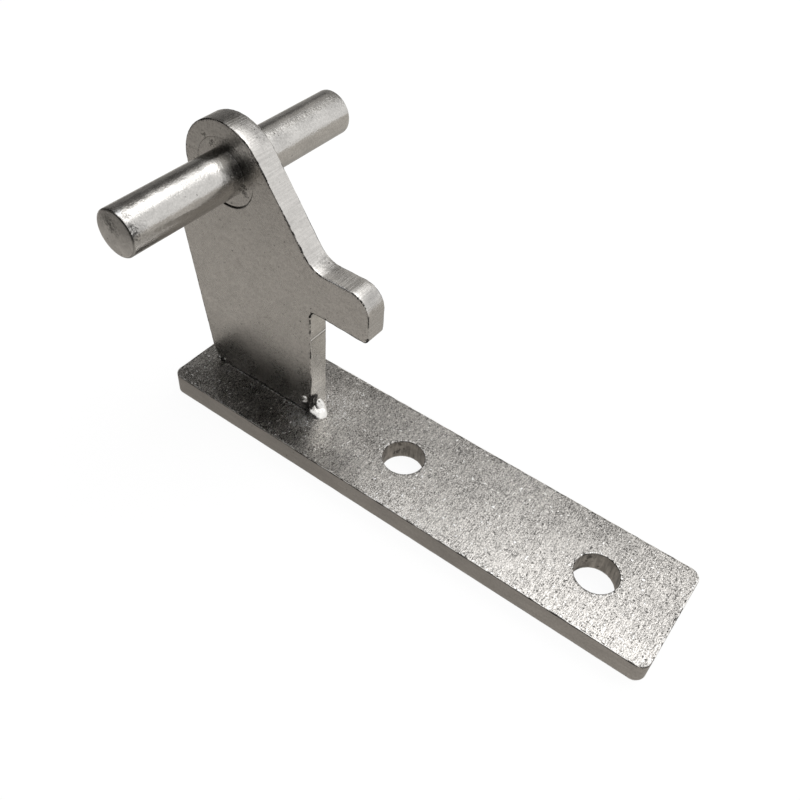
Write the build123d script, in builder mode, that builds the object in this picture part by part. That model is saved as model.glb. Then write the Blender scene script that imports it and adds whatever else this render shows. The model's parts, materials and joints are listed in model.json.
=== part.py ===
from build123d import *
import math
import os

os.makedirs("parts", exist_ok=True)

# Fridge door hinge in stainless steel: a drilled flat bar, a cut upright plate
# standing on it, and a turned pin through the eye at the plate's top.
# The origin lies midway between the two screw holes, on the underside of the
# bar. X runs along the bar, away from the upright; Y runs along the pin; Z is up.

# Base bar
base_length = 91.4
base_width = 20.0
base_thickness = 3.85
base_corner_radius = 1.8
hole_diameter = 7.0
hole_spacing = 35.6
hole_end_margin = 12.75

# Upright plate; distances along X are from the bar's far end, below the pin.
# The pin's height is above the bar's top face, drops are below the pin's axis,
# and the lug's depths are below its own top edge.
plate_thickness = 3.85
plate_side_offset = -0.15
foot_start = 2.85
foot_end = 25.12
foot_corner_radius = 3.5
rear_lean_degrees = 9.0
shoulder_drop = 11.62
shoulder_radius = 2.0
neck_degrees = 204.0
neck_radius = 2.5
pin_distance = 9.44
pin_height = 40.22
eye_radius = 7.87
slope_degrees = 34.5
lug_end = 36.2
lug_drop = 9.77
lug_root_depth = 7.85
lug_tip_depth = 8.35
slope_foot_radius = 4.5
lug_upper_radius = 3.55
lug_lower_radius = 1.0
notch_radius = 1.25

# Pin with a collar that seats in the eye
pin_diameter = 7.18
pin_length = 45.0
pin_end_radius = 0.6
collar_diameter = 10.7
collar_recess = 0.15
seat_clearance = 0.2
seat_drop = 0.15

# Weld tacks at the two ends of the foot
front_tack_radius = 1.8
rear_tack_radius = 1.7
tack_side_offset = -0.5
rear_tack_inset = 0.8

# Rounding of the deburred edges
edge_break = 0.25
hole_edge_break = 0.15

base_far_x = hole_spacing / 2 + hole_end_margin - base_length
pin_x = base_far_x + pin_distance
pin_z = base_thickness + pin_height
foot_start_x = base_far_x + foot_start
foot_end_x = base_far_x + foot_end
lug_end_x = base_far_x + lug_end
lug_top_z = pin_z - lug_drop
shoulder_z = pin_z - shoulder_drop

# Base bar with two clearance holes on its centre line
with BuildPart() as base_plate:
    with BuildSketch(Plane.XY):
        with Locations((base_far_x + base_length / 2, 0)):
            RectangleRounded(base_length, base_width, base_corner_radius)
        with GridLocations(hole_spacing, 0, 2, 1):
            Circle(hole_diameter / 2, mode=Mode.SUBTRACT)
    extrude(amount=base_thickness)
    flat_edges = base_plate.faces().sort_by(Axis.Z)[-1].outer_wire().edges()
    flat_edges += base_plate.faces().sort_by(Axis.Z)[0].outer_wire().edges()
    fillet(flat_edges, edge_break)
    rims = base_plate.edges().filter_by(GeomType.CIRCLE)
    rims = rims.filter_by(lambda e: abs(e.radius - hole_diameter / 2) < 0.01)
    fillet(rims, hole_edge_break)

# Corners of the upright's outline, in the plane of its faces
slope = math.radians(slope_degrees)
slope_tangent = (
    pin_x + eye_radius * math.cos(slope),
    pin_z + eye_radius * math.sin(slope),
)
slope_foot = (
    slope_tangent[0] + (slope_tangent[1] - lug_top_z) * math.tan(slope),
    lug_top_z,
)
rear_lean = math.radians(rear_lean_degrees)
shoulder = (
    foot_start_x - (shoulder_z - base_thickness) * math.tan(rear_lean),
    shoulder_z,
)
neck = (
    pin_x + eye_radius * math.cos(math.radians(neck_degrees)),
    pin_z + eye_radius * math.sin(math.radians(neck_degrees)),
)
foot_rear_corner = (foot_start_x, base_thickness)
foot_front_corner = (foot_end_x, base_thickness)
notch_corner = (foot_end_x, lug_top_z - lug_root_depth)
lug_lower_corner = (lug_end_x, lug_top_z - lug_tip_depth)
lug_upper_corner = (lug_end_x, lug_top_z)

with BuildPart() as upright_plate:
    with BuildSketch(Plane.XZ.offset(-plate_side_offset)) as outline:
        with BuildLine():
            Polyline(
                foot_rear_corner,
                foot_front_corner,
                notch_corner,
                lug_lower_corner,
                lug_upper_corner,
                slope_foot,
                slope_tangent,
                (pin_x, pin_z),
                neck,
                shoulder,
                close=True,
            )
        make_face()
        with Locations((pin_x, pin_z)):
            Circle(eye_radius)
        rounded_corners = [
            (foot_rear_corner, foot_corner_radius),
            (notch_corner, notch_radius),
            (lug_lower_corner, lug_lower_radius),
            (lug_upper_corner, lug_upper_radius),
            (slope_foot, slope_foot_radius),
            (neck, neck_radius),
            (shoulder, shoulder_radius),
        ]
        for corner, radius in rounded_corners:
            fillet(outline.vertices().sort_by_distance(Vector(*corner))[0], radius)
        with Locations((pin_x, pin_z - seat_drop)):
            Circle(collar_diameter / 2 + seat_clearance, mode=Mode.SUBTRACT)
    extrude(amount=plate_thickness / 2, both=True)
    broken_edges = ShapeList()
    for face in upright_plate.faces().filter_by(Axis.Y):
        broken_edges += face.outer_wire().edges().filter_by(
            lambda e: e.center().Z > base_thickness + 0.01
        )
        broken_edges += face.inner_wires().edges()
    fillet(broken_edges, edge_break)

# Pin turned in one piece with its collar, on an axis parallel to Y
pin_plane = Plane(origin=(pin_x, 0, pin_z), x_dir=(1, 0, 0), z_dir=(0, 1, 0))
collar_plane = pin_plane.offset(plate_side_offset)
with BuildPart() as hinge_pin:
    with BuildSketch(pin_plane):
        Circle(pin_diameter / 2)
    extrude(amount=pin_length / 2, both=True)
    fillet(hinge_pin.edges().filter_by(GeomType.CIRCLE), pin_end_radius)
    with BuildSketch(collar_plane):
        Circle(collar_diameter / 2)
    extrude(amount=plate_thickness / 2 - collar_recess, both=True)

# Two weld tacks, cut to lie face to face against the plate and the bar
with BuildPart() as weld_tacks:
    with Locations((foot_end_x, tack_side_offset, base_thickness)):
        Sphere(front_tack_radius)
    with Locations((foot_start_x + rear_tack_inset, tack_side_offset, base_thickness)):
        Sphere(rear_tack_radius)
    split(bisect_by=Plane.XY.offset(base_thickness), keep=Keep.TOP)
    add(upright_plate.part, mode=Mode.SUBTRACT)

base_plate.part.label = "base_plate"
upright_plate.part.label = "upright_plate"
hinge_pin.part.label = "hinge_pin"
weld_tacks.part.label = "weld_tacks"

for piece in (base_plate, upright_plate, hinge_pin, weld_tacks):
    export_step(piece.part, "parts/" + piece.part.label + ".step")
    print(piece.part.label, round(piece.part.volume, 1), "mm3")
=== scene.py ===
import json
import math
import bmesh
import bpy
import numpy as np
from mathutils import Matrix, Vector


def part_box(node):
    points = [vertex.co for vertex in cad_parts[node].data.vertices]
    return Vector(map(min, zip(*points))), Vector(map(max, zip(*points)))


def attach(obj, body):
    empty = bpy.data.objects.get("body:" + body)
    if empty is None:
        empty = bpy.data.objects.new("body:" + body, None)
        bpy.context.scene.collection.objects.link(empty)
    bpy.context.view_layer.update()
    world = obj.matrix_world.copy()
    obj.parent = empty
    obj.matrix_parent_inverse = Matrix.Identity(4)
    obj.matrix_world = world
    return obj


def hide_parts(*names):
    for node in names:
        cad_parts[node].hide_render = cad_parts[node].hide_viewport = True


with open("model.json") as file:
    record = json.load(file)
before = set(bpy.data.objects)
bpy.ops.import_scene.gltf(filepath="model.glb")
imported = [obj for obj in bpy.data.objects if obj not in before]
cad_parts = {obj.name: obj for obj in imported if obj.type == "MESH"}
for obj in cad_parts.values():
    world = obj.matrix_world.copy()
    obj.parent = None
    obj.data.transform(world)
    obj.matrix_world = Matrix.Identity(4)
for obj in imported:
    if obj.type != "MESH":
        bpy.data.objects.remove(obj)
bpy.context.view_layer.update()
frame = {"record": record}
print("frame loaded")

mm = 0.001

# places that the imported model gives
barLow, barHigh = (np.array(corner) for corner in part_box("base_plate"))
plateLow, plateHigh = (np.array(corner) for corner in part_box("upright_plate"))
pinLow, pinHigh = (np.array(corner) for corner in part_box("hinge_pin"))
mounts = {mount["name"]: mount for mount in frame["record"]["mounts"]}
holeRadius = mounts["screw_holes"]["dims"]["hole_r_mm"] * mm
holeSpacing = mounts["screw_holes"]["dims"]["spacing_x_mm"] * mm
pinRadius = mounts["front_pin_end"]["dims"]["r_mm"] * mm
pinX, pinZ = (pinLow[0] + pinHigh[0]) / 2, (pinLow[2] + pinHigh[2]) / 2
collarRadius = (pinHigh[0] - pinLow[0]) / 2
barTop = barHigh[2]
plateMiddleY = (plateLow[1] + plateHigh[1]) / 2
plateThickness = plateHigh[1] - plateLow[1]


# mesh helpers

def placed(name, data):
    # an object with its mesh, light or camera, put into the scene
    thing = bpy.data.objects.new(name, data)
    bpy.context.scene.collection.objects.link(thing)
    return thing


def gridFaces(start, rows, columns, closedRows=True):
    # four corners of each cell of a grid of rows by columns, numbered row by row from start
    index = start + np.arange(rows * columns).reshape(rows, columns)
    following = np.roll(index, -1, axis=0) if closedRows else index[1:]
    current = index if closedRows else index[:-1]
    return np.stack(
        [current[:, :-1], following[:, :-1], following[:, 1:], current[:, 1:]], axis=-1
    ).reshape(-1, 4)


def fanFaces(outer, inner):
    # cells between a closed row of points and the inner points that each of them leads to;
    # where two neighbours lead to the same inner point the cell is a triangle
    nextOuter, nextInner = np.roll(outer, -1), np.roll(inner, -1)
    same = inner == nextInner
    quads = np.stack([outer, nextOuter, nextInner, inner], axis=-1)[~same]
    triangles = np.stack([outer, nextOuter, inner], axis=-1)[same]
    return quads.tolist() + triangles.tolist()


def makePiece(name, points, faceGroups, materials, node):
    # one closed mesh from point blocks and groups of (faces, material number): points that coincide
    # are merged, then every normal is turned outwards
    mesh = bpy.data.meshes.new(name)
    faces, numbers = [], []
    for group, number in faceGroups:
        group = group.tolist() if isinstance(group, np.ndarray) else group
        faces += group
        numbers += [number] * len(group)
    mesh.from_pydata(np.concatenate(points), [], faces)
    for material in materials:
        mesh.materials.append(material)
    mesh.polygons.foreach_set("material_index", np.array(numbers, dtype=np.int32))
    mesh.polygons.foreach_set("use_smooth", np.ones(len(faces), dtype=bool))
    work = bmesh.new()
    work.from_mesh(mesh)
    bmesh.ops.remove_doubles(work, verts=work.verts, dist=0.0005 * mm)
    bmesh.ops.recalc_face_normals(work, faces=work.faces)
    openEdges = sum(len(edge.link_faces) != 2 for edge in work.edges)
    work.to_mesh(mesh)
    work.free()
    piece = placed(name, mesh)
    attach(piece, "root")
    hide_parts(node)
    print(name, len(mesh.polygons), "faces,", openEdges, "open edges")
    return piece


# outlines in a plane, as arcs joined by straight runs

def cornerArc(before, corner, after, radius):
    # the arc that rounds a corner: its centre lies on the corner's bisector, and its two ends
    # are where the distance to both runs is one radius
    corner = np.array(corner)
    toBefore = (before - corner) / np.linalg.norm(before - corner)
    toAfter = (after - corner) / np.linalg.norm(after - corner)
    halfAngle = math.acos(np.clip(np.dot(toBefore, toAfter), -1, 1)) / 2
    bisector = (toBefore + toAfter) / np.linalg.norm(toBefore + toAfter)
    centre = corner + bisector * radius / math.sin(halfAngle)
    reach = radius / math.tan(halfAngle)
    first = corner + toBefore * reach - centre
    last = corner + toAfter * reach - centre
    start = math.atan2(first[1], first[0])
    turn = math.atan2(last[1], last[0]) - start
    turn = (turn + math.pi) % (2 * math.pi) - math.pi
    return centre, radius, start, start + turn


def outlineOf(arcs, step, arcStep):
    # points of a closed outline, with the number of the arc or run that each belongs to:
    # even numbers are arcs, odd numbers the straight runs after them
    blocks, labels, ends = [], [], []
    for centre, radius, start, stop in arcs:
        count = 1 if radius == 0 else max(4, math.ceil(abs(stop - start) * radius / arcStep) + 1)
        angles = np.linspace(start, stop, count)
        points = np.array(centre) + radius * np.stack([np.cos(angles), np.sin(angles)], axis=-1)
        ends.append((points[0], points[-1]))
        blocks.append(points)
    rows = []
    for number, points in enumerate(blocks):
        rows.append(points)
        labels.append(np.full(len(points), 2 * number))
        start, stop = ends[number][1], ends[(number + 1) % len(ends)][0]
        count = max(1, math.ceil(np.linalg.norm(stop - start) / step))
        share = (np.arange(1, count) / count)[:, None]
        rows.append(start + (stop - start) * share)
        labels.append(np.full(count - 1, 2 * number + 1))
    outline, labels = np.concatenate(rows), np.concatenate(labels)
    # a point that all but coincides with the one before it is dropped
    gap = np.linalg.norm(outline - np.roll(outline, 1, axis=0), axis=1)
    return outline[gap > 0.01 * mm], labels[gap > 0.01 * mm]


def outwardNormals(outline):
    # a quarter turn to the right of the line between each point's two neighbours
    along = np.roll(outline, -1, axis=0) - np.roll(outline, 1, axis=0)
    along /= np.linalg.norm(along, axis=1)[:, None]
    return np.stack([along[:, 1], -along[:, 0]], axis=-1)


def unevenness(count, seed, waves, roughest):
    # a closed wavy line between about -1 and 1: a sum of sines of whole-number frequencies
    random = np.random.default_rng(seed)
    frequencies = random.integers(2, roughest, waves)
    phases = random.uniform(0, 2 * math.pi, waves)
    turns = np.arange(count) / count * 2 * math.pi
    line = np.sin(turns[:, None] * frequencies + phases).sum(axis=1)
    return line / math.sqrt(waves)


def edgeProfile(bevelCells, sideCells):
    # across a cut edge: a quarter round, the straight side, a quarter round. Each station is
    # (inset, start, share): it lies inset * break inwards and start * break + share * thickness across
    angle = np.linspace(0, math.pi / 2, bevelCells + 1)
    share = np.linspace(0, 1, sideCells + 1)[1:-1]
    inset = np.concatenate([1 - np.sin(angle), 0 * share, 1 - np.cos(angle)])
    start = np.concatenate([1 - np.cos(angle), 1 - 2 * share, np.sin(angle) - 1])
    across = np.concatenate([0 * angle, share, 0 * angle + 1])
    return inset, start, across


def wallGroups(faces, columns, bevelCells, burrAndSheenNumber, sideNumbers):
    # the wall's cells by place across the edge: the two rounded breaks are torn metal with painted
    # highlights and the side between them is not, each with one number for all cells or one for each
    column = np.arange(len(faces)) % (columns - 1)
    broken = (column < bevelCells) | (column >= columns - 1 - bevelCells)
    numbers = np.where(broken, burrAndSheenNumber, sideNumbers)
    return [(faces[numbers == number], int(number)) for number in np.unique(numbers)]


def wallRows(outline, normals, breaks, thickness, profile):
    # the edge profile carried along the outline, as rows of (in-plane point, distance across)
    inset, start, share = profile
    inward = breaks[:, None] * inset[None, :]
    plane = outline[:, None, :] - normals[:, None, :] * inward[:, :, None]
    across = breaks[:, None] * start[None, :] + thickness * share[None, :]
    return plane, across


# materials

# places of the weld heat in millimetres; the marks round the front one are heat tint and, on the plate,
# painted shade as well
frontHeatAndShade = (-36.5, -2.0, 5.2)
rearHeat = (-57.0, -1.6, 4.0)


def stainsAndPaintedLight(*rows):
    # each row gives a place and the reach, in millimetres, and the factor on the colour's tone within it:
    # heat tint and other stains, and for most rows painted shade (below 1) or painted highlight (above 1)
    return tuple(((x * mm, y * mm, z * mm), reach * mm, left) for x, y, z, reach, left in rows)


class NodeKit:
    # short names for the shader nodes that the materials share

    def __init__(self, name):
        self.material = bpy.data.materials.new(name)
        self.material.use_nodes = True
        self.nodes, self.links = self.material.node_tree.nodes, self.material.node_tree.links
        self.shader = self.nodes["Principled BSDF"]
        self.shader.inputs["Metallic"].default_value = 1.0
        self.place = self.nodes.new("ShaderNodeTexCoord").outputs["Object"]

    def feed(self, socket, value):
        # a socket takes either another node's output or a plain number
        if isinstance(value, bpy.types.NodeSocket):
            self.links.new(value, socket)
        else:
            socket.default_value = value

    def noise(self, scale, detail=2.0, stretch=(1, 1, 1), roughness=0.5):
        # a noise field over the place, squeezed or drawn out along each axis
        mapping = self.nodes.new("ShaderNodeMapping")
        mapping.inputs["Scale"].default_value = stretch
        self.links.new(self.place, mapping.inputs["Vector"])
        texture = self.nodes.new("ShaderNodeTexNoise")
        texture.inputs["Scale"].default_value = scale
        texture.inputs["Detail"].default_value = detail
        texture.inputs["Roughness"].default_value = roughness
        self.links.new(mapping.outputs["Vector"], texture.inputs["Vector"])
        return texture.outputs["Fac"]

    def spread(self, value, fromLow, fromHigh, low, high):
        # the value moved linearly from one range to another and held at its ends
        ranged = self.nodes.new("ShaderNodeMapRange")
        for name, amount in (("From Min", fromLow), ("From Max", fromHigh),
                             ("To Min", low), ("To Max", high)):
            ranged.inputs[name].default_value = amount
        self.links.new(value, ranged.inputs["Value"])
        return ranged.outputs["Result"]

    def reckon(self, operation, a, b):
        # two values or fields joined by one kind of arithmetic
        node = self.nodes.new("ShaderNodeMath")
        node.operation = operation
        self.feed(node.inputs[0], a)
        self.feed(node.inputs[1], b)
        return node.outputs["Value"]

    def plus(self, a, b):
        return self.reckon("ADD", a, b)

    def minus(self, a, b):
        return self.reckon("SUBTRACT", a, b)

    def times(self, a, b):
        return self.reckon("MULTIPLY", a, b)

    def off(self, a, b):
        # how far a lies from b, either way
        return self.reckon("ABSOLUTE", self.minus(a, b), 0.0)

    def distance(self, point):
        # the straight distance from the place to a point
        node = self.nodes.new("ShaderNodeVectorMath")
        node.operation = "DISTANCE"
        self.links.new(self.place, node.inputs[0])
        node.inputs[1].default_value = point
        return node.outputs["Value"]

    def axis(self, name):
        # the place's X, Y or Z
        node = self.nodes.new("ShaderNodeSeparateXYZ")
        self.links.new(self.place, node.inputs[0])
        return node.outputs[name]

    def tint(self, colour, tone):
        # the colour times the tone
        node = self.nodes.new("ShaderNodeVectorMath")
        node.operation = "SCALE"
        node.inputs[0].default_value = colour
        self.feed(node.inputs["Scale"], tone)
        return node.outputs["Vector"]

    def bump(self, height, depth, before=None):
        # the normal tilted by the slope of a height field, over any bump before it
        node = self.nodes.new("ShaderNodeBump")
        node.inputs["Strength"].default_value = 1.0
        node.inputs["Distance"].default_value = depth
        self.links.new(height, node.inputs["Height"])
        if before:
            self.links.new(before, node.inputs["Normal"])
        return node.outputs["Normal"]


def withStainsAndPaintedLight(kit, look, tone, solid, ragged=0.0):
    # the tone times each painted shade, a gradient of painted light that runs linearly along an axis (in
    # millimetres), and times each mark, a stain, painted shade or painted highlight, which is full within
    # the solid share of its reach and gone at the reach
    for axis, start, stop, low, high in look.get("paintedShades", ()):
        tone = kit.times(tone, kit.spread(kit.axis(axis), start * mm, stop * mm, low, high))
    for point, reach, left in look.get("stainsAndPaintedLight", ()):
        away = kit.plus(kit.distance(point), ragged)
        tone = kit.times(tone, kit.spread(away, solid * reach, reach, left, 1.0))
    return tone


def steel(name, look):
    # the look's colour times a tone: the sum of 1, speckle, grain and clouds, lowered in pits, raised on
    # specks, then given its stains and painted light and shade; the same fields vary its roughness and
    # its slope
    kit = NodeKit(name)
    speckle = kit.noise(look["speckleScale"], 2.0, look.get("speckleStretch", (1, 1, 1)), 0.6)
    grain = kit.noise(look["grainScale"], 3.0, look["grainStretch"], 0.6)
    clouds = kit.noise(look["cloudScale"], 3.0)
    tone = 1.0
    for field, amount, reach in ((speckle, look["speckleTone"], 0.14), (grain, look["grainTone"], 0.16),
                                 (clouds, look["cloudTone"], 0.14)):
        tone = kit.plus(kit.spread(field, 0.5 - reach, 0.5 + reach, -amount, amount), tone)
    pits = kit.noise(look["pitScale"], 1.0)
    pitMask = kit.spread(pits, look["pitEdge"], look["pitEdge"] + 0.05, 0.0, 1.0)
    tone = kit.times(tone, kit.spread(pitMask, 0.0, 1.0, 1.0, look["pitTone"]))
    # as many raised specks as pits, at the other end of the same field; a large speckTone makes them
    # painted glints
    specks = kit.spread(pits, 1 - look["pitEdge"], 0.95 - look["pitEdge"], 0.0, 1.0)
    tone = kit.plus(tone, kit.spread(specks, 0.0, 1.0, 0.0, look.get("speckTone", 0.1)))
    tone = withStainsAndPaintedLight(kit, look, tone, 0.35, kit.spread(speckle, 0.3, 0.7, -0.5 * mm, 0.5 * mm))
    if "rubLineAndHighlight" in look:
        # a burnished broken line on the bar just in front of the foot, bumped, its brightness a painted
        # highlight
        y, start, stop = look["rubLineAndHighlight"]
        line = kit.spread(kit.off(kit.axis("Y"), y), 0.06 * mm, 0.16 * mm, 1.0, 0.0)
        for side, place in ((1, start), (-1, stop)):
            inside = kit.times(kit.minus(kit.axis("X"), place), side)
            line = kit.times(line, kit.spread(inside, 0.0, 1.5 * mm, 0.0, 1.0))
        line = kit.times(line, kit.spread(pits, 0.4, 0.6, 0.25, 1.0))
        tone = kit.plus(tone, line)
    if "grooveAndHighlight" in look:
        # a scored line across the edge, its brightness a painted highlight, with painted shade lines
        # above and below it and the edge lighter above than below
        above = kit.minus(kit.axis("Z"), look["grooveAndHighlight"])
        near = kit.off(above, 0.0)
        tone = kit.plus(tone, kit.spread(near, 0.1 * mm, 0.2 * mm, 0.85, 0.0))
        tone = kit.times(tone, kit.spread(kit.off(near, 0.28 * mm), 0.05 * mm, 0.12 * mm, 0.5, 1.0))
        tone = kit.times(tone, kit.spread(above, -0.1 * mm, 0.1 * mm, 0.97, 1.12))
    kit.links.new(kit.tint(look["colour"], tone), kit.shader.inputs["Base Color"])
    vary = look["roughVary"]
    rough = kit.plus(kit.spread(clouds, 0.36, 0.64, -vary, vary),
                     kit.spread(speckle, 0.36, 0.64, -vary, vary))
    rough = kit.plus(rough, kit.spread(pitMask, 0.0, 1.0, look["roughness"], 0.6))
    kit.links.new(rough, kit.shader.inputs["Roughness"])
    normal = kit.bump(clouds, look["cloudDepth"])
    normal = kit.bump(grain, look["grainDepth"], normal)
    normal = kit.bump(speckle, look["speckleDepth"], normal)
    normal = kit.bump(kit.minus(specks, pitMask), look["pitDepth"], normal)
    if "rubLineAndHighlight" in look:
        normal = kit.bump(line, 0.05 * mm, normal)
    kit.links.new(normal, kit.shader.inputs["Normal"])
    return kit.material


def burrAndSheen(name, look):
    # a broken edge: dark torn metal with bright stretches, painted highlights, where a noise passes the
    # share, finer dashes within them, then given its stains and painted light and shade
    kit = NodeKit(name)
    patches = kit.noise(look["patchScale"], 3.0, roughness=0.7)
    dashes = kit.noise(look["dashScale"], 2.0, roughness=0.6)
    mask = kit.spread(patches, look["share"] - 0.03, look["share"] + 0.03, 0.0, 1.0)
    tone = kit.plus(kit.spread(mask, 0.0, 1.0, look["dark"], look["bright"]),
                    kit.spread(dashes, 0.4, 0.6, -look["vary"], look["vary"]))
    tone = kit.reckon("MAXIMUM", withStainsAndPaintedLight(kit, look, tone, 0.3), 0.02)
    kit.links.new(kit.tint((1.0, 0.96, 0.91), tone), kit.shader.inputs["Base Color"])
    kit.links.new(kit.spread(mask, 0.0, 1.0, 0.6, 0.3), kit.shader.inputs["Roughness"])
    normal = kit.bump(dashes, look["depth"])
    kit.links.new(kit.bump(patches, look["depth"], normal), kit.shader.inputs["Normal"])
    return kit.material


barTopLook = {
    "colour": (0.507, 0.49, 0.468), "roughness": 0.29, "roughVary": 0.04,
    "speckleScale": 6200, "speckleStretch": (1.25, 0.5, 1.0),
    "speckleTone": 0.64, "speckleDepth": 0.012 * mm,
    "grainScale": 3200, "grainStretch": (1.6, 0.22, 1.0), "grainTone": 0.38, "grainDepth": 0.007 * mm,
    "cloudScale": 190, "cloudTone": 0.11, "cloudDepth": 0.03 * mm,
    "pitScale": 1900, "pitEdge": 0.68, "pitTone": 0.6, "pitDepth": 0.03 * mm,
    # specks lifted into painted glints, and lighter at the front than at the back as painted light
    "speckTone": 1.5, "paintedShades": (("Y", -10, 10, 1.12, 0.8),),
    # heat tint at the front tack and a dark spot by the rear one; the others are painted shade along the
    # front edge on the left, and painted highlights behind the plate, in front of the front tack, further
    # right along the front and at the back of the right end
    "stainsAndPaintedLight": stainsAndPaintedLight(
        (*frontHeatAndShade, 2.0, 0.85), (-57.5, -1.1, 3.85, 0.9, 0.35), (-33.5, 2.5, 3.85, 6.0, 1.6),
        (-27.0, -9.5, 3.85, 6.8, 0.62), (-34.5, -9.8, 3.85, 4.0, 0.7), (-44.0, -7.2, 3.85, 6.0, 0.55),
        (-50.0, -7.0, 3.85, 3.5, 0.75), (26.5, 8.0, 3.85, 7.0, 1.25),
        (-14.8, -9.8, 3.85, 6.5, 1.25), (-36.8, -4.1, 3.85, 3.2, 1.9), (-39.8, -3.9, 3.85, 2.6, 1.4),
    ),
    # the line just in front of the foot is brightened as a painted highlight
    "rubLineAndHighlight": (plateLow[1] - 0.2 * mm, plateLow[0] + 7 * mm, barLow[0] + 24 * mm),
}
barRimLook = {
    **barTopLook, "pitScale": 2100, "pitEdge": 0.6, "pitTone": 0.35, "pitDepth": 0.05 * mm,
    "cloudScale": 500, "cloudTone": 0.25,
}
del barRimLook["rubLineAndHighlight"]
plateFaceLook = {
    "colour": (0.63, 0.606, 0.576), "roughness": 0.29, "roughVary": 0.03,
    "speckleScale": 3600, "speckleTone": 0.14, "speckleDepth": 0.035 * mm,
    "grainScale": 900, "grainStretch": (0.5, 1.0, 1.0), "grainTone": 0.05, "grainDepth": 0.006 * mm,
    "cloudScale": 220, "cloudTone": 0.04, "cloudDepth": 0.02 * mm,
    "pitScale": 1900, "pitEdge": 0.71, "pitTone": 0.5, "pitDepth": 0.008 * mm,
    # darker towards the bar as painted shade
    "paintedShades": (("Z", 5.85, 16.85, 0.64, 1.0),),
    # heat tint at the tacks; the others are painted shade and shadow round the pin's root and on the
    # collar
    "stainsAndPaintedLight": stainsAndPaintedLight(
        (*frontHeatAndShade, 2.0, 0.25), (*rearHeat, 1.2, 0.5), (-48.0, -2.0, 46.0, 3.4, 0.42),
        (-49.9, -2.0, 47.2, 2.2, 0.5), (-48.8, -2.0, 45.0, 2.0, 0.7), (-50.9, -2.0, 48.0, 2.0, 0.6),
        (-46.8, -2.0, 47.2, 1.8, 0.65), (-54.8, -2.1, 48.7, 0.5, 0.45),
        (-53.6, -2.1, 47.9, 0.6, 0.4), (-47.9, -2.1, 43.2, 0.6, 0.3), (-47.9, -2.1, 42.1, 0.7, 0.3),
    ),
}
plateRimLook = {
    **plateFaceLook, "pitScale": 2300, "pitEdge": 0.61, "pitTone": 0.25, "pitDepth": 0.04 * mm,
    "cloudScale": 500, "cloudTone": 0.2,
}
cutEdgeLook = {
    "colour": (0.61, 0.592, 0.568), "roughness": 0.25, "roughVary": 0.04,
    "speckleScale": 2600, "speckleTone": 0.06, "speckleDepth": 0.008 * mm,
    "grainScale": 1300, "grainStretch": (3.0, 0.14, 3.0), "grainTone": 0.09, "grainDepth": 0.04 * mm,
    "cloudScale": 350, "cloudTone": 0.04, "cloudDepth": 0.06 * mm,
    "pitScale": 1700, "pitEdge": 0.72, "pitTone": 0.5, "pitDepth": 0.01 * mm,
    # heat tint at the front tack; the others are painted shade on the crown, at the slope's foot and on
    # the lug, and painted highlights along the crown's and lug's front borders
    "stainsAndPaintedLight": stainsAndPaintedLight(
        (*frontHeatAndShade, 2.0, 0.3), (-55.0, -0.15, 51.2, 6.5, 0.7), (-25.5, -0.15, 33.8, 2.9, 0.76),
        (-48.3, 1.1, 51.4, 3.8, 0.6), (-34.2, 0.9, 34.3, 2.3, 0.62),
        (-49.2, -1.7, 51.6, 2.2, 1.35), (-46.9, -1.7, 50.5, 2.2, 1.35),
        (-32.9, -1.9, 34.3, 2.0, 1.4), (-30.0, -1.9, 34.3, 2.0, 1.35), (-27.0, -1.8, 34.0, 2.0, 1.3),
    ),
}
slotEdgeLook = {
    # the scored line on the slot's edge is drawn with a painted highlight and painted shade
    **cutEdgeLook, "colour": (0.6, 0.58, 0.545), "grooveAndHighlight": 20.5 * mm,
    "stainsAndPaintedLight": stainsAndPaintedLight((*frontHeatAndShade, 2.0, 0.3), (-35.7, 0.3, 6.6, 4.0, 0.72)),
    "grainStretch": (1.0, 0.5, 1.0), "grainDepth": 0.008 * mm,
}
barSideLook = {
    "colour": (0.396, 0.375, 0.353), "roughness": 0.38, "roughVary": 0.04,
    "speckleScale": 2600, "speckleTone": 0.1, "speckleDepth": 0.006 * mm,
    "grainScale": 700, "grainStretch": (0.4, 0.4, 2.0), "grainTone": 0.06, "grainDepth": 0.004 * mm,
    "cloudScale": 200, "cloudTone": 0.06, "cloudDepth": 0.02 * mm,
    "pitScale": 1500, "pitEdge": 0.72, "pitTone": 0.5, "pitDepth": 0.01 * mm,
    # lighter towards the right end and in a broad middle mark, as painted light
    "paintedShades": (("X", -15, 30, 0.97, 1.38),),
    "stainsAndPaintedLight": stainsAndPaintedLight((-17.0, -10.0, 1.9, 15.0, 1.15)),
}
holeWallLook = {
    **barSideLook, "colour": (0.34, 0.318, 0.293), "roughness": 0.42,
    "grainScale": 900, "grainStretch": (2.0, 2.0, 0.3), "grainTone": 0.35, "grainDepth": 0.02 * mm,
    "cloudScale": 500, "cloudTone": 0.25, "paintedShades": (),
    "stainsAndPaintedLight": stainsAndPaintedLight(
        (-20.54, 2.18, 1.4, 0.55, 0.4), (-20.3, 2.45, 3.2, 0.6, 0.5), (-21.28, -0.5, 2.0, 0.7, 0.6),
        (14.6, 1.4, 0.3, 0.8, 0.2), (15.2, 2.3, 1.9, 0.5, 0.4), (15.6, 2.7, 3.0, 0.6, 0.45),
    ),
}
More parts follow.
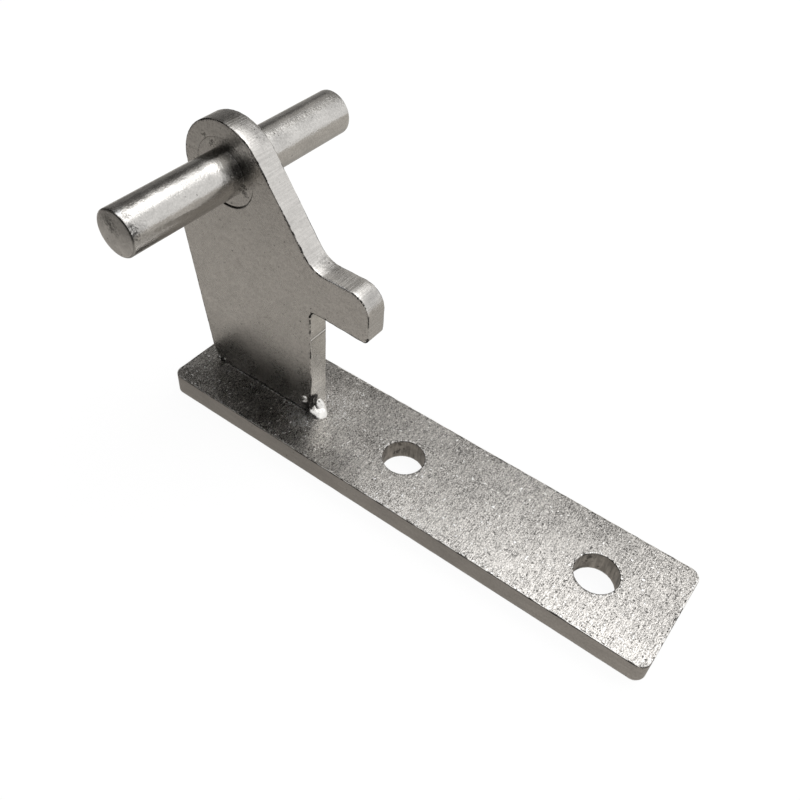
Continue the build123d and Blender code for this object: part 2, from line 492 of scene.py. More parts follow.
pinLook = {
    "colour": (0.6, 0.584, 0.56), "roughness": 0.2, "roughVary": 0.04,
    "speckleScale": 3400, "speckleTone": 0.08, "speckleDepth": 0.024 * mm,
    "grainScale": 1000, "grainStretch": (1.0, 0.35, 1.0), "grainTone": 0.05, "grainDepth": 0.04 * mm,
    "cloudScale": 300, "cloudTone": 0.05, "cloudDepth": 0.05 * mm,
    "pitScale": 1500, "pitEdge": 0.75, "pitTone": 0.5, "pitDepth": 0.01 * mm,
    # dark dots near the front end; the others are painted highlights carrying the band to the end and the
    # root, and painted shade by the root and on the rear stub's top
    "stainsAndPaintedLight": stainsAndPaintedLight(
        (-49.72, -21.3, 47.24, 0.75, 0.45), (-48.58, -21.6, 46.28, 0.7, 0.45),
        (-48.18, -21.65, 45.64, 0.8, 0.4), (-47.96, -21.7, 45.06, 0.7, 0.5),
        (-48.1, -20.7, 45.5, 1.4, 0.72), (-50.42, -21.9, 47.5, 0.8, 1.6), (-49.1, -21.7, 46.8, 0.5, 1.4),
        (-48.3, -2.2, 45.4, 1.8, 0.35), (-50.8, 7.5, 47.6, 3.5, 0.8), (-50.8, 13.5, 47.6, 3.5, 0.8),
        (-50.8, 19.5, 47.6, 3.5, 0.78), (-50.3, 21.9, 47.4, 2.0, 0.6), (-50.0, -5.0, 47.3, 2.4, 1.6),
        (-50.9, -21.0, 47.6, 1.4, 1.7), (-50.9, -18.6, 47.6, 1.4, 1.6), (-50.8, -16.2, 47.6, 1.4, 1.5),
        (-50.7, -13.6, 47.5, 1.3, 1.25), (-47.9, -2.8, 43.9, 1.4, 0.6),
    ),
    # darker on the underside as painted shade
    "paintedShades": (("Z", 41.6, 43.2, 0.6, 1.0),),
}
pinEndLook = {
    # its colour, lighter than the pin's, is painted light, and its marks are a painted dark reflection
    **pinLook, "colour": (0.8, 0.776, 0.744), "roughness": 0.36,
    "cloudScale": 420, "cloudTone": 0.16, "paintedShades": (),
    "stainsAndPaintedLight": stainsAndPaintedLight(
        (-52.3, -22.4, 45.9, 0.8, 0.6), (-51.5, -22.4, 45.2, 1.0, 0.6), (-50.9, -22.4, 44.6, 0.8, 0.75),
        (-52.6, -22.4, 46.3, 1.8, 0.65),
    ),
}
weldLook = {
    "colour": (0.76, 0.745, 0.72), "roughness": 0.28, "roughVary": 0.05,
    "speckleScale": 1500, "speckleTone": 0.05, "speckleDepth": 0.008 * mm,
    "grainScale": 900, "grainStretch": (1.0, 1.0, 1.0), "grainTone": 0.05, "grainDepth": 0.02 * mm,
    "cloudScale": 800, "cloudTone": 0.22, "cloudDepth": 0.09 * mm,
    "pitScale": 1000, "pitEdge": 0.7, "pitTone": 0.5, "pitDepth": 0.02 * mm,
}
burrAndSheenLook = {
    "patchScale": 420, "dashScale": 3500, "share": 0.5, "dark": 0.12, "bright": 0.62,
    "vary": 0.14, "depth": 0.03 * mm, "stainsAndPaintedLight": stainsAndPaintedLight((*frontHeatAndShade, 2.6, 0.2)),
}
barBurrAndSheenLook = {
    # dark on the lower part of the break and light on its upper part, as painted shade and highlight
    **burrAndSheenLook, "share": 0.46, "dark": 0.24, "bright": 0.85, "paintedShades": (("Z", 3.74, 3.82, 0.12, 1.15),),
}
# painted highlights along the lug's rim
lugRimHighlight = ((-32.5, -2.0, 34.3, 3.0, 2.0), (-28.5, -2.0, 34.3, 3.0, 2.0), (-26.0, -2.0, 33.3, 2.0, 1.8))
plateBurrAndSheenLook = {**burrAndSheenLook, "stainsAndPaintedLight": stainsAndPaintedLight((*frontHeatAndShade, 2.6, 0.2), *lugRimHighlight)}
holeBurrAndSheenLook = {**burrAndSheenLook, "patchScale": 1700, "share": 0.52, "dark": 0.03, "bright": 0.42, "vary": 0.06}
scorchLook = {
    "patchScale": 1400, "dashScale": 4000, "share": 0.6, "dark": 0.07, "bright": 0.3,
    "vary": 0.05, "depth": 0.06 * mm,
}
# near-black painted shade on the edges where the plate's foot meets the bar and under the lug
seamShadeLook = {
    "patchScale": 900, "dashScale": 4000, "share": 0.64, "dark": 0.02, "bright": 0.2,
    "vary": 0.01, "depth": 0.05 * mm,
}
barTopSteel = steel("barTopSteel", barTopLook)
barRimSteel = steel("barRimSteel", barRimLook)
barSideSteel = steel("barSideSteel", barSideLook)
holeWallSteel = steel("holeWallSteel", holeWallLook)
plateFaceSteel = steel("plateFaceSteel", plateFaceLook)
plateRimSteel = steel("plateRimSteel", plateRimLook)
cutEdgeSteel = steel("cutEdgeSteel", cutEdgeLook)
slotEdgeSteel = steel("slotEdgeSteel", slotEdgeLook)
pinSteel = steel("pinSteel", pinLook)
pinEndSteel = steel("pinEndSteel", pinEndLook)
weldSteel = steel("weldSteel", weldLook)
barBurrAndSheen = burrAndSheen("barBurrAndSheen", barBurrAndSheenLook)
plateBurrAndSheen = burrAndSheen("plateBurrAndSheen", plateBurrAndSheenLook)
holeBurrAndSheen = burrAndSheen("holeBurrAndSheen", holeBurrAndSheenLook)
scorchedSteel = burrAndSheen("scorchedSteel", scorchLook)
seamShadeSteel = burrAndSheen("seamShadeSteel", seamShadeLook)
print("materials made")


# flat bar

bar = {
    "cornerRadius": 1.8 * mm,
    "edgeBreak": 0.15 * mm,
    "breakVary": 0.25,
    "breakWaves": (3, 14, 90),  # seed, number of waves, highest frequency
    "holeBreak": 0.1 * mm,
    "holeVary": 0.35,
    "supportInset": 0.25 * mm,
    "step": 0.35 * mm,
    "arcStep": 0.2 * mm,
    "holeCells": 120,
    "bevelCells": 4,
    "sideCells": 4,
    # how far round its hole the outline has led at its half's start, two corners and end
    "rightTurns": (0, 85, 275, 360),
    "leftTurns": (0, 75, 285, 360),
}


def makeBar():
    # the bar's rounded outline with its edge profile, two hole walls made in the same way, and flat
    # faces that join them
    left, right, near, far = barLow[0], barHigh[0], barLow[1], barHigh[1]
    radius = bar["cornerRadius"]
    quarter = math.pi / 2
    # two arcs of no radius divide the outline into the half round each hole
    arcs = [
        ((0, near), 0, 0, 0),
        ((right - radius, near + radius), radius, -quarter, 0),
        ((right - radius, far - radius), radius, 0, quarter),
        ((0, far), 0, 0, 0),
        ((left + radius, far - radius), radius, quarter, 2 * quarter),
        ((left + radius, near + radius), radius, 2 * quarter, 3 * quarter),
    ]
    outline, labels = outlineOf(arcs, bar["step"], bar["arcStep"])
    normals = outwardNormals(outline)
    count = len(outline)
    thickness = barHigh[2] - barLow[2]
    breaks = bar["edgeBreak"] * (1 + bar["breakVary"] * unevenness(count, *bar["breakWaves"]))
    profile = edgeProfile(bar["bevelCells"], bar["sideCells"])
    plane, across = wallRows(outline, normals, breaks, thickness, profile)
    wall = np.concatenate([plane, (barTop - across)[:, :, None]], axis=-1)
    columns = wall.shape[1]
    points = [wall.reshape(-1, 3)]
    groups = wallGroups(gridFaces(0, count, columns), columns, bar["bevelCells"], 3, 1)
    used = count * columns
    cells = bar["holeCells"]
    # hole walls: the same edge profile carried round each circle, insets pointing outwards; each
    # circle is numbered from its point nearest to the other hole
    holes = []
    turn = np.arange(cells) / cells * 2 * math.pi
    for side, startTurn in ((1, math.pi), (-1, 0.0)):
        angle = turn + startTurn
        radial = np.stack([np.cos(angle), np.sin(angle)], axis=-1)
        centre = np.array([side * holeSpacing / 2, 0.0])
        waves = np.clip(unevenness(cells, 5 + side, 12, 50), -2, 2)
        ragged = bar["holeBreak"] * (1 + bar["holeVary"] * waves)
        rim, rimAcross = wallRows(centre + radial * holeRadius, -radial, ragged, thickness, profile)
        hole = np.concatenate([rim, (barTop - rimAcross)[:, :, None]], axis=-1)
        points.append(hole.reshape(-1, 3))
        groups += wallGroups(gridFaces(used, cells, columns), columns, bar["bevelCells"], 4, 2)
        holes.append((used, centre, radial))
        used += cells * columns
    # flat faces: from the outline over two supporting rings to the holes; each half of the
    # outline leads to the points of its own hole in order of their angle about its centre
    onRight = labels < 6
    rightAngle = np.degrees(np.arctan2(outline[:, 1], outline[:, 0] - holeSpacing / 2))
    leftAngle = np.degrees(np.arctan2(outline[:, 1], outline[:, 0] + holeSpacing / 2)) % 360
    seam = math.degrees(math.atan2(far, holeSpacing / 2))
    rightTurn = np.interp(rightAngle, [seam - 180, -90, 90, 180 - seam], bar["rightTurns"])
    leftTurn = np.interp(leftAngle, [seam, 90, 270, 360 - seam], bar["leftTurns"])
    rightIndex = np.round(rightTurn / 360 * cells).astype(int) % cells
    leftIndex = np.round(leftTurn / 360 * cells).astype(int) % cells
    reach = holeRadius + bar["holeBreak"] * 1.5 + bar["supportInset"]
    for column, height, faceNumber, rimNumber in ((0, barTop, 0, 5), (columns - 1, barLow[2], 1, 1)):
        ringPlane = outline - normals * (breaks + bar["supportInset"])[:, None]
        ring = np.concatenate([ringPlane, np.full((count, 1), height)], axis=-1)
        ringStart = used
        points.append(ring)
        used += count
        outer = np.arange(count) * columns + column
        inner = ringStart + np.arange(count)
        groups.append((fanFaces(outer, inner), rimNumber))
        holeRings = []
        for start, centre, radial in holes:
            around = centre + radial * reach
            points.append(np.concatenate([around, np.full((cells, 1), height)], axis=-1))
            holeRing = used + np.arange(cells)
            used += cells
            rimRow = start + np.arange(cells) * columns + column
            groups.append((fanFaces(rimRow, holeRing), rimNumber))
            holeRings.append(holeRing)
        target = np.where(onRight, holeRings[0][rightIndex], holeRings[1][leftIndex])
        groups.append((fanFaces(inner, target), faceNumber))
    materials = [barTopSteel, barSideSteel, holeWallSteel, barBurrAndSheen, holeBurrAndSheen, barRimSteel]
    return makePiece("flatBar", points, groups, materials, "base_plate")


makeBar()


# upright plate

plate = {
    "footStart": 2.85 * mm, "footEnd": 25.12 * mm,
    "footRearRadius": 3.5 * mm, "footFrontRadius": 0.5 * mm,
    "rearLean": math.radians(9.0),
    "shoulderDrop": 11.62 * mm, "shoulderRadius": 2.0 * mm,
    "neckAngle": math.radians(204.0), "neckRadius": 2.5 * mm,
    "eyeRadius": 7.87 * mm, "slope": math.radians(34.5),
    "lugDrop": 9.77 * mm, "lugRootDepth": 7.85 * mm, "lugTipDepth": 8.35 * mm,
    "slopeFootRadius": 4.5 * mm, "lugUpperRadius": 3.55 * mm, "lugLowerRadius": 1.0 * mm,
    "notchRadius": 1.25 * mm,
    "seatGap": 0.01 * mm, "seatSag": 0.33 * mm,
    "edgeBreak": 0.15 * mm, "seamBreak": 0.26 * mm, "breakVary": 0.25,
    "breakWaves": (11, 16, 120),  # seed, number of waves, highest frequency
    "holeBreak": 0.06 * mm, "holeVary": 0.3, "holeWaves": (17, 8, 20),
    "supportInset": 0.2 * mm,
    "step": 0.35 * mm, "arcStep": 0.18 * mm, "holeCells": 80,
    "bevelCells": 4, "sideCells": 8,
    # angles of the outline about the eye, and how far round the hole it has led at its start, at
    # each of them and at its end
    "eyeAngles": (0, 30, 200, 215), "eyeTurns": (0, 55, 108, 300, 330, 360),
    # middles of the body's foot, of its upper part and of the lug, from the bar's far top corner
    "middles": ((13.5 * mm, 8.0 * mm), (18.5 * mm, 25.0 * mm), (32.3 * mm, 26.4 * mm)),
}


def makePlate():
    # the plate's outline of arcs and straight runs with its edge profile, the eye's wall made in the
    # same way, and flat faces that join them
    farX = barLow[0]
    eye = np.array([pinX, pinZ])
    radius = min(plate["eyeRadius"], plateHigh[2] - pinZ)
    slope = plate["slope"]
    lugTop = pinZ - plate["lugDrop"]
    lugEnd = plateHigh[0]
    footRear = np.array([farX + plate["footStart"], barTop])
    footFront = np.array([farX + plate["footEnd"], barTop])
    notch = np.array([footFront[0], lugTop - plate["lugRootDepth"]])
    lugLower = np.array([lugEnd, lugTop - plate["lugTipDepth"]])
    lugUpper = np.array([lugEnd, lugTop])
    tangent = eye + radius * np.array([math.cos(slope), math.sin(slope)])
    slopeFoot = np.array([tangent[0] + (tangent[1] - lugTop) * math.tan(slope), lugTop])
    shoulderZ = pinZ - plate["shoulderDrop"]
    shoulder = np.array([footRear[0] - (shoulderZ - barTop) * math.tan(plate["rearLean"]), shoulderZ])
    neckPoint = eye + radius * np.array([math.cos(plate["neckAngle"]), math.sin(plate["neckAngle"])])
    # the neck's arc touches the eye's circle from outside and the rear edge's upper run
    neckRun = (neckPoint - shoulder) / np.linalg.norm(neckPoint - shoulder)
    outward = np.array([-neckRun[1], neckRun[0]])
    eyeDepth = np.dot(eye - shoulder, outward)
    neckRadius = plate["neckRadius"]
    rise = neckRadius - eyeDepth
    fall = math.sqrt((radius + neckRadius) ** 2 - rise ** 2)
    neckCentre = eye + outward * rise - neckRun * fall
    toEye = eye - neckCentre
    neckStart = math.atan2(toEye[1], toEye[0])
    neckStop = math.atan2(-outward[1], -outward[0])
    neckTurn = (neckStop - neckStart + math.pi) % (2 * math.pi) - math.pi
    eyeStop = math.atan2(-toEye[1], -toEye[0]) % (2 * math.pi)
    neckFoot = neckCentre - outward * neckRadius
    # the arcs by their numbers in the outline; the straight run after each has the next number
    arcs = [
        cornerArc(shoulder, footRear, footFront, plate["footRearRadius"]),  # 0
        cornerArc(footRear, footFront, notch, plate["footFrontRadius"]),  # 2
        cornerArc(footFront, notch, lugLower, plate["notchRadius"]),  # 4
        cornerArc(notch, lugLower, lugUpper, plate["lugLowerRadius"]),  # 6
        cornerArc(lugLower, lugUpper, slopeFoot, plate["lugUpperRadius"]),  # 8
        cornerArc(lugUpper, slopeFoot, tangent, plate["slopeFootRadius"]),  # 10
        (eye, radius, slope, eyeStop),  # 12
        (neckCentre, neckRadius, neckStart, neckStart + neckTurn),  # 14
        cornerArc(neckFoot, shoulder, footRear, plate["shoulderRadius"]),  # 16
    ]
    outline, labels = outlineOf(arcs, plate["step"], plate["arcStep"])
    normals = outwardNormals(outline)
    count = len(outline)
    vary = 1 + plate["breakVary"] * unevenness(count, *plate["breakWaves"])
    # the foot's lower edge, run 1 of the outline, and the edges of the notch and of the lug's
    # underside, 4 to 6, are broken most and are dark with painted shade
    dark = (labels == 1) | ((labels >= 4) & (labels <= 6))
    breaks = np.where(dark, plate["seamBreak"], plate["edgeBreak"]) * vary
    profile = edgeProfile(plate["bevelCells"], plate["sideCells"])
    plane, across = wallRows(outline, normals, breaks, plateThickness, profile)
    wall = np.stack([plane[:, :, 0], plateLow[1] + across, plane[:, :, 1]], axis=-1)
    columns = wall.shape[1]
    points = [wall.reshape(-1, 3)]
    # the front edge of the foot, run 3 of the outline, is the scored side of the slot
    sides = np.repeat(np.where(labels == 3, 2, 1), columns - 1)
    breakNumbers = np.repeat(np.where(dark, 5, 3), columns - 1)
    groups = wallGroups(gridFaces(0, count, columns), columns, plate["bevelCells"], breakNumbers, sides)
    used = count * columns
    # eye hole, numbered from its lowest point
    cells = plate["holeCells"]
    angle = np.arange(cells) / cells * 2 * math.pi - math.pi / 2
    radial = np.stack([np.cos(angle), np.sin(angle)], axis=-1)
    # the gap round the collar widens with the cube of the share of the way down
    down = (1 - radial[:, 1:2]) / 2
    seatRadius = collarRadius + plate["seatGap"] + plate["seatSag"] * down ** 3
    ragged = plate["holeBreak"] * (1 + plate["holeVary"] * unevenness(cells, *plate["holeWaves"]))
    rim, rimAcross = wallRows(eye + radial * seatRadius, -radial, ragged, plateThickness, profile)
    hole = np.stack([rim[:, :, 0], plateLow[1] + rimAcross, rim[:, :, 1]], axis=-1)
    points.append(hole.reshape(-1, 3))
    groups.append((gridFaces(used, cells, columns), 1))
    holeStart = used
    used += cells * columns
    # where each point of the outline leads: from the slope's foot round the eye to the shoulder, to
    # the hole's points in order of angle, elsewhere to the middle of the foot, body or lug
    order = np.arange(count)
    middleOf = {number: int(order[labels == number].mean()) for number in range(2 * len(arcs))
                if (labels == number).any()}
    turned = np.degrees(np.arctan2(outline[:, 1] - eye[1], outline[:, 0] - eye[0]))
    turned = np.where(turned < -90, turned + 360, turned)
    ends = turned[middleOf[10]], turned[middleOf[16]]
    holeTurn = np.interp(turned, [ends[0], *plate["eyeAngles"], ends[1]], plate["eyeTurns"])
    holeIndex = np.round(holeTurn / 360 * cells).astype(int) % cells
    around = (order >= middleOf[10]) & (order <= middleOf[16])
    body = np.array([farX, barTop]) + np.array(plate["middles"])
    lead = np.zeros(count, dtype=int)
    lead[(order > middleOf[3]) & (order <= middleOf[5])] = 1
    lead[(order > middleOf[5]) & (order <= middleOf[9])] = 2
    lead[(order > middleOf[9]) & (order <= middleOf[10])] = 1
    lead[(order >= middleOf[16]) & (order <= middleOf[17])] = 1
    for column, depth in ((0, plateLow[1]), (columns - 1, plateHigh[1])):
        ringPlane = outline - normals * (breaks + plate["supportInset"])[:, None]
        points.append(np.stack([ringPlane[:, 0], np.full(count, depth), ringPlane[:, 1]], axis=-1))
        inner = used + np.arange(count)
        used += count
        groups.append((fanFaces(order * columns + column, inner), 4))
        reach = seatRadius + plate["holeBreak"] * 1.4 + plate["supportInset"]
        ring = eye + radial * reach
        points.append(np.stack([ring[:, 0], np.full(cells, depth), ring[:, 1]], axis=-1))
        holeRing = used + np.arange(cells)
        used += cells
        rimRow = holeStart + np.arange(cells) * columns + column
        groups.append((fanFaces(rimRow, holeRing), 0))
        points.append(np.stack([body[:, 0], np.full(3, depth), body[:, 1]], axis=-1))
        bodyIndex = used + np.arange(3)
        used += 3
        target = np.where(around, holeRing[holeIndex], bodyIndex[lead])
        groups.append((fanFaces(inner, target), 0))
    materials = [plateFaceSteel, cutEdgeSteel, slotEdgeSteel, plateBurrAndSheen, plateRimSteel, seamShadeSteel]
    return makePiece("uprightPlate", points, groups, materials, "upright_plate")


makePlate()


# turned pin

pin = {
    "endRadius": 0.5 * mm,
    "dome": 0.2 * mm,
    "collarBreak": 0.05 * mm,
    "rootRadius": 0.02 * mm,
    "collarRecess": 0.06 * mm,
    "turnCells": 144,
    "faceCells": 7, "roundCells": 6, "stubCells": 39, "collarCells": 5,
}


def makePin():
    # the pin's outline (place along Y, radius) turned about its axis
    frontY, backY = pinLow[1], pinHigh[1]
    end, recess = pin["endRadius"], pin["collarRecess"]
    collarFront, collarBack = plateLow[1] + recess, plateHigh[1] - recess
    quarter = np.linspace(0, math.pi / 2, pin["roundCells"] + 1)
    faceRadius = np.linspace(0, pinRadius - end, pin["faceCells"] + 1)
    dome = pin["dome"] * (faceRadius / (pinRadius - end)) ** 2

    def half(tip, collar, side):
        # from the end's centre over its rounded edge and along the stub to the collar's rim
        facePlace = tip + side * dome
        roundPlace = tip + side * (pin["dome"] + (end - pin["dome"]) * (1 - np.cos(quarter)))
        roundRadius = pinRadius - end + end * np.sin(quarter)
        stubEnds = tip + side * end, collar - side * pin["rootRadius"]
        stubPlace = np.linspace(*stubEnds, pin["stubCells"] + 1)[1:]
        rootPlace = collar - side * pin["rootRadius"] * (1 - np.sin(quarter))
        rootRadius = pinRadius + pin["rootRadius"] * (1 - np.cos(quarter))
        faceEnds = pinRadius + pin["rootRadius"] * 1.5, collarRadius - pin["collarBreak"]
        faceOut = np.linspace(*faceEnds, pin["collarCells"] + 1)
        rimPlace = collar + side * pin["collarBreak"] * (1 - np.cos(quarter))
        rimRadius = collarRadius - pin["collarBreak"] * (1 - np.sin(quarter))
        place = np.concatenate([facePlace, roundPlace[1:], stubPlace, rootPlace[1:],
                                np.full(len(faceOut), collar), rimPlace[1:]])
        radius = np.concatenate([faceRadius, roundRadius[1:], np.full(len(stubPlace), pinRadius),
                                 rootRadius[1:], faceOut, rimRadius[1:]])
        return place, radius

    frontPlace, frontRadius = half(frontY, collarFront, 1)
    backPlace, backRadius = half(backY, collarBack, -1)
    place = np.concatenate([frontPlace, backPlace[::-1]])
    radius = np.concatenate([frontRadius, backRadius[::-1]])
    turn = np.arange(pin["turnCells"]) / pin["turnCells"] * 2 * math.pi
    around = np.stack([np.cos(turn), np.sin(turn)], axis=-1)
    points = np.stack([
        pinX + around[:, 0:1] * radius,
        np.broadcast_to(place, (len(turn), len(place))),
        pinZ + around[:, 1:2] * radius,
    ], axis=-1)
    faces = gridFaces(0, len(turn), len(place))
    column = np.arange(len(faces)) % (len(place) - 1)
    middle = (radius[:-1] + radius[1:]) / 2
    isCollar = (middle > pinRadius * 1.02)[column]
    isEnd = (middle < pinRadius - end * 0.6)[column]
    groups = [(faces[~isCollar & ~isEnd], 0), (faces[isCollar], 1), (faces[isEnd], 2)]
    materials = [pinSteel, plateFaceSteel, pinEndSteel]
    return makePiece("turnedPin", [points.reshape(-1, 3)], groups, materials, "hinge_pin")


makePin()


# weld tacks

tacks = {
    "cells": 40,
    "flatness": 0.7,
    "sink": 0.5 * mm,
    # each lump: place, half sizes, fall of its top towards +X and -Y, unevenness, phase, scorched
    "lumps": (
        ((-34.95, -1.3, 4.25), (1.6, 1.5, 0.65), (0.45, 0.2), 0.05, 0.4, False),
        ((-35.1, -0.45, 4.45), (1.0, 1.0, 1.0), (0.9, 0.2), 0.05, 2.6, False),
        ((-37.4, -2.12, 6.6), (0.78, 0.4, 0.7), (0, 0), 0.06, 1.0, False),
        ((-35.95, -1.95, 6.8), (0.45, 0.32, 1.5), (0, 0), 0.25, 0.9, True),
        ((-35.75, -1.4, 6.8), (0.22, 0.8, 1.1), (0, 0), 0.25, 2.2, True),
        ((-36.6, -2.0, 4.4), (0.4, 0.3, 0.6), (0, 0), 0.25, 3.1, True),
        ((-57.2, -0.7, 4.2), (1.15, 0.95, 0.9), (0, 0), 0.12, 1.9, False),
        ((-57.2, -0.7, 3.95), (1.25, 1.1, 0.2), (0, 0), 0.15, 1.1, True),
        ((-57.35, -1.95, 4.0), (0.45, 0.36, 0.34), (0, 0), 0.08, 0.2, False),
        ((-56.5, -2.1, 4.0), (0.5, 0.22, 0.3), (0, 0), 0.3, 0.7, True),
        ((-55.9, -2.1, 4.5), (0.24, 0.16, 0.2), (0, 0), 0.1, 2.9, False),
    ),
}


def makeTacks():
    # each lump is a flattened ball: powers of the sines and cosines of its two angles times its
    # half sizes, its radius swelling with slow sines of them and its height falling linearly
    cells = tacks["cells"]
    around = np.arange(cells) / cells * 2 * math.pi
    height = np.linspace(-math.pi / 2, math.pi / 2, cells // 2 + 1)
    turn, rise = around[:, None], height[None, :]
    level = np.sign(np.sin(rise)) * np.abs(np.sin(rise)) ** tacks["flatness"]
    girth = np.clip(np.cos(rise), 0, 1) ** tacks["flatness"]
    points, groups, used = [], [], 0
    for place, sizes, fall, uneven, phase, scorched in tacks["lumps"]:
        swell = 1 + uneven * np.cos(rise) * (
            np.sin(3 * turn + phase + 2 * rise) * np.cos(2 * rise + phase)
            + 0.6 * np.sin(5 * turn - 3 * rise + 2 * phase)
        )
        offX = sizes[0] * swell * girth * np.cos(turn)
        offY = sizes[1] * swell * girth * np.sin(turn)
        ball = np.stack([
            place[0] + offX,
            place[1] + offY,
            place[2] + sizes[2] * swell * level - fall[0] * offX + fall[1] * offY,
        ], axis=-1) * mm
        # no lump reaches deeper into the bar than the sink
        ball[:, :, 2] = np.maximum(ball[:, :, 2], barTop - tacks["sink"])
        points.append(ball.reshape(-1, 3))
        groups.append((gridFaces(used, cells, len(height)), int(scorched)))
        used += cells * len(height)
    materials = [weldSteel, scorchedSteel]
    return makePiece("weldTacks", points, groups, materials, "weld_tacks")


makeTacks()


# studio

studio = {
    "cameraPlace": (30.722 * mm, -78.458 * mm, 112.214 * mm),
    "cameraAngles": (44.054, -3.515, 36.245),
    "lens": 38.95,
    "floorSize": 6.0,
    "floorColour": 0.82,
    "whiteShare": 0.88,
    "paperGlow": 1.06,
    "worldStrength": 0.6,
    "keyPlace": (0.22, 0.52, 0.52), "keySize": (0.9, 0.55), "keyPower": 2.4,
    "corePlace": (0.066, 0.31, 0.67), "coreSize": (0.45, 0.26), "corePower": 0.45,
    # each card: name, the two ends of its foot, height, axis, and colours by place along that axis
    "cards": (
        ("leftFlag", (-0.32, -0.5), (-0.32, 0.85), 0.76, "Y",
         ((-0.05, (0.02, 0.019, 0.018)), (0.24, (0.1, 0.097, 0.093)), (0.32, (0.2, 0.195, 0.187)),
          (0.37, (0.5, 0.487, 0.468)), (0.45, (0.5, 0.487, 0.468)))),
        ("lowFlag", (-0.315, -0.5), (-0.315, 0.85), 0.16, "Y",
         ((-0.1, (0.05, 0.048, 0.045)), (0.1, (0.17, 0.165, 0.158)), (0.3, (0.34, 0.332, 0.32)))),
        ("backCard", (-0.32, 0.85), (0.15, 0.85), 1.15, "X",
         ((-0.3, (0.36, 0.35, 0.335)), (0.15, (0.8, 0.79, 0.77)))),
        ("frontFlag", (-0.32, -0.5), (1.0, -0.5), 0.75, "Z",
         ((0.0, (0.025, 0.024, 0.023)), (0.75, (0.07, 0.068, 0.064)))),
        ("table", (-0.32, -0.5), (0.6, 0.9), 0.0, "Y",
         ((-0.1, (0.14, 0.134, 0.125)), (-0.032, (0.43, 0.41, 0.385)),
          (-0.014, (0.41, 0.392, 0.367)), (0.08, (0.56, 0.536, 0.5)))),
    ),
    "tableLift": 0.2 * mm,
}


def lightPathShare(tree, share):
    # share for camera, glossy and transmission rays, nothing for the others
    path = tree.nodes.new("ShaderNodeLightPath")
    total = path.outputs["Is Camera Ray"]
    for name in ("Is Glossy Ray", "Is Transmission Ray"):
        larger = tree.nodes.new("ShaderNodeMath")
        larger.operation = "MAXIMUM"
        tree.links.new(total, larger.inputs[0])
        tree.links.new(path.outputs[name], larger.inputs[1])
        total = larger.outputs[0]
    scaled = tree.nodes.new("ShaderNodeMath")
    scaled.operation = "MULTIPLY"
    tree.links.new(total, scaled.inputs[0])
    scaled.inputs[1].default_value = share
    return scaled.outputs[0]


def makeFloor():
    # a square of paper: the white share of it glows for the camera, the rest takes the shadow
    half = studio["floorSize"] / 2
    mesh = bpy.data.meshes.new("floor")
    level = barLow[2]
    mesh.from_pydata([(-half, -half, level), (half, -half, level), (half, half, level),
                      (-half, half, level)], [], [(0, 1, 2, 3)])
    floor = placed("floor", mesh)
    material = bpy.data.materials.new("floorPaper")
    material.use_nodes = True
    tree = material.node_tree
    tree.nodes.clear()
    paper = tree.nodes.new("ShaderNodeBsdfDiffuse")
    paper.inputs["Color"].default_value = (studio["floorColour"],) * 3 + (1,)
    white = tree.nodes.new("ShaderNodeEmission")
    white.inputs["Strength"].default_value = studio["paperGlow"]
    mix = tree.nodes.new("ShaderNodeMixShader")
    out = tree.nodes.new("ShaderNodeOutputMaterial")
    tree.links.new(lightPathShare(tree, studio["whiteShare"]), mix.inputs["Fac"])
    tree.links.new(paper.outputs["BSDF"], mix.inputs[1])
    tree.links.new(white.outputs["Emission"], mix.inputs[2])
    tree.links.new(mix.outputs["Shader"], out.inputs["Surface"])
    mesh.materials.append(material)


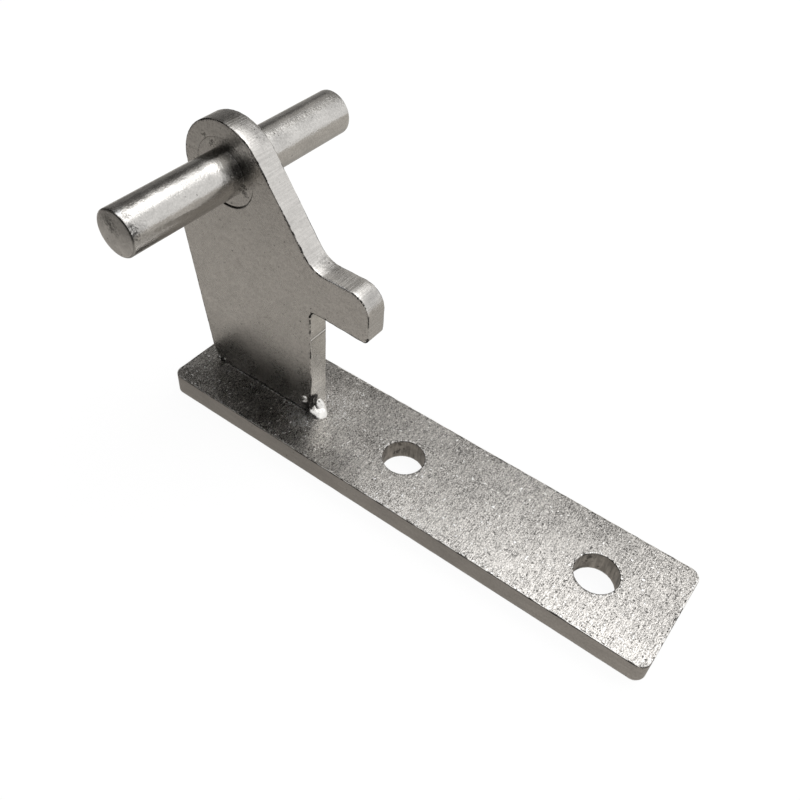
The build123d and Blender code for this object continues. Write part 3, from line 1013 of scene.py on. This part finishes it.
def makeCard(name, start, stop, height, axis, tones):
    # a studio card that only shows in reflections: it stands on its foot or, without a height, lies
    # between the foot's ends, and its colour runs linearly from place to place along one axis
    (x, y), (farX, farY), lift = start, stop, studio["tableLift"]
    standing = [(x, y, 0), (farX, farY, 0), (farX, farY, height), (x, y, height)]
    lying = [(x, y, lift), (farX, y, lift), (farX, farY, lift), (x, farY, lift)]
    mesh = bpy.data.meshes.new(name)
    mesh.from_pydata(standing if height else lying, [], [(0, 1, 2, 3)])
    card = placed(name, mesh)
    kit = NodeKit(name)
    kit.nodes.remove(kit.shader)
    ramp = kit.nodes.new("ShaderNodeValToRGB")
    first, last = tones[0][0], tones[-1][0]
    stops = ramp.color_ramp.elements
    for place, colour in tones[1:-1]:
        stops.new((place - first) / (last - first)).color = (*colour, 1)
    stops[0].color = (*tones[0][1], 1)
    stops[len(stops) - 1].color = (*tones[-1][1], 1)
    kit.links.new(kit.spread(kit.axis(axis), first, last, 0.0, 1.0), ramp.inputs["Fac"])
    glow = kit.nodes.new("ShaderNodeEmission")
    kit.links.new(ramp.outputs["Color"], glow.inputs["Color"])
    kit.links.new(glow.outputs["Emission"], kit.nodes["Material Output"].inputs["Surface"])
    mesh.materials.append(kit.material)
    card.visible_camera = card.visible_diffuse = False
    card.visible_shadow = card.visible_transmission = False


def makeLamp(name, shine):
    # a rectangular lamp turned from its place towards the origin
    light = bpy.data.lights.new(name, "AREA")
    light.shape = "RECTANGLE"
    light.size, light.size_y = studio[name + "Size"]
    light.energy = studio[name + "Power"]
    lamp = placed(name, light)
    lamp.location = studio[name + "Place"]
    lamp.rotation_euler = (-lamp.location).to_track_quat("-Z", "Y").to_euler()
    lamp.visible_glossy = shine


def makeStudio():
    # floor, cards and lamps, a world that is white to the eye and dimmer as light, and the camera
    makeFloor()
    for card in studio["cards"]:
        makeCard(*card)
    makeLamp("key", False)  # lights the floor and the dull places
    makeLamp("core", True)  # gives the highlights
    world = bpy.data.worlds.new("studioWorld")
    bpy.context.scene.world = world
    world.use_nodes = True
    tree = world.node_tree
    tree.nodes.clear()
    around = tree.nodes.new("ShaderNodeBackground")
    around.inputs["Strength"].default_value = studio["worldStrength"]
    white = tree.nodes.new("ShaderNodeBackground")
    around.inputs["Color"].default_value = white.inputs["Color"].default_value = (1, 1, 1, 1)
    mix = tree.nodes.new("ShaderNodeMixShader")
    out = tree.nodes.new("ShaderNodeOutputWorld")
    tree.links.new(lightPathShare(tree, 1.0), mix.inputs["Fac"])
    tree.links.new(around.outputs["Background"], mix.inputs[1])
    tree.links.new(white.outputs["Background"], mix.inputs[2])
    tree.links.new(mix.outputs["Shader"], out.inputs["Surface"])
    cameraData = bpy.data.cameras.new("camera")
    cameraData.lens = studio["lens"]
    cameraData.sensor_width = 36
    cameraData.clip_start = 0.005
    camera = placed("camera", cameraData)
    camera.location = studio["cameraPlace"]
    camera.rotation_euler = [math.radians(angle) for angle in studio["cameraAngles"]]
    bpy.context.scene.camera = camera
    bpy.context.scene.view_settings.view_transform = "Standard"
    print("studio made")


makeStudio()
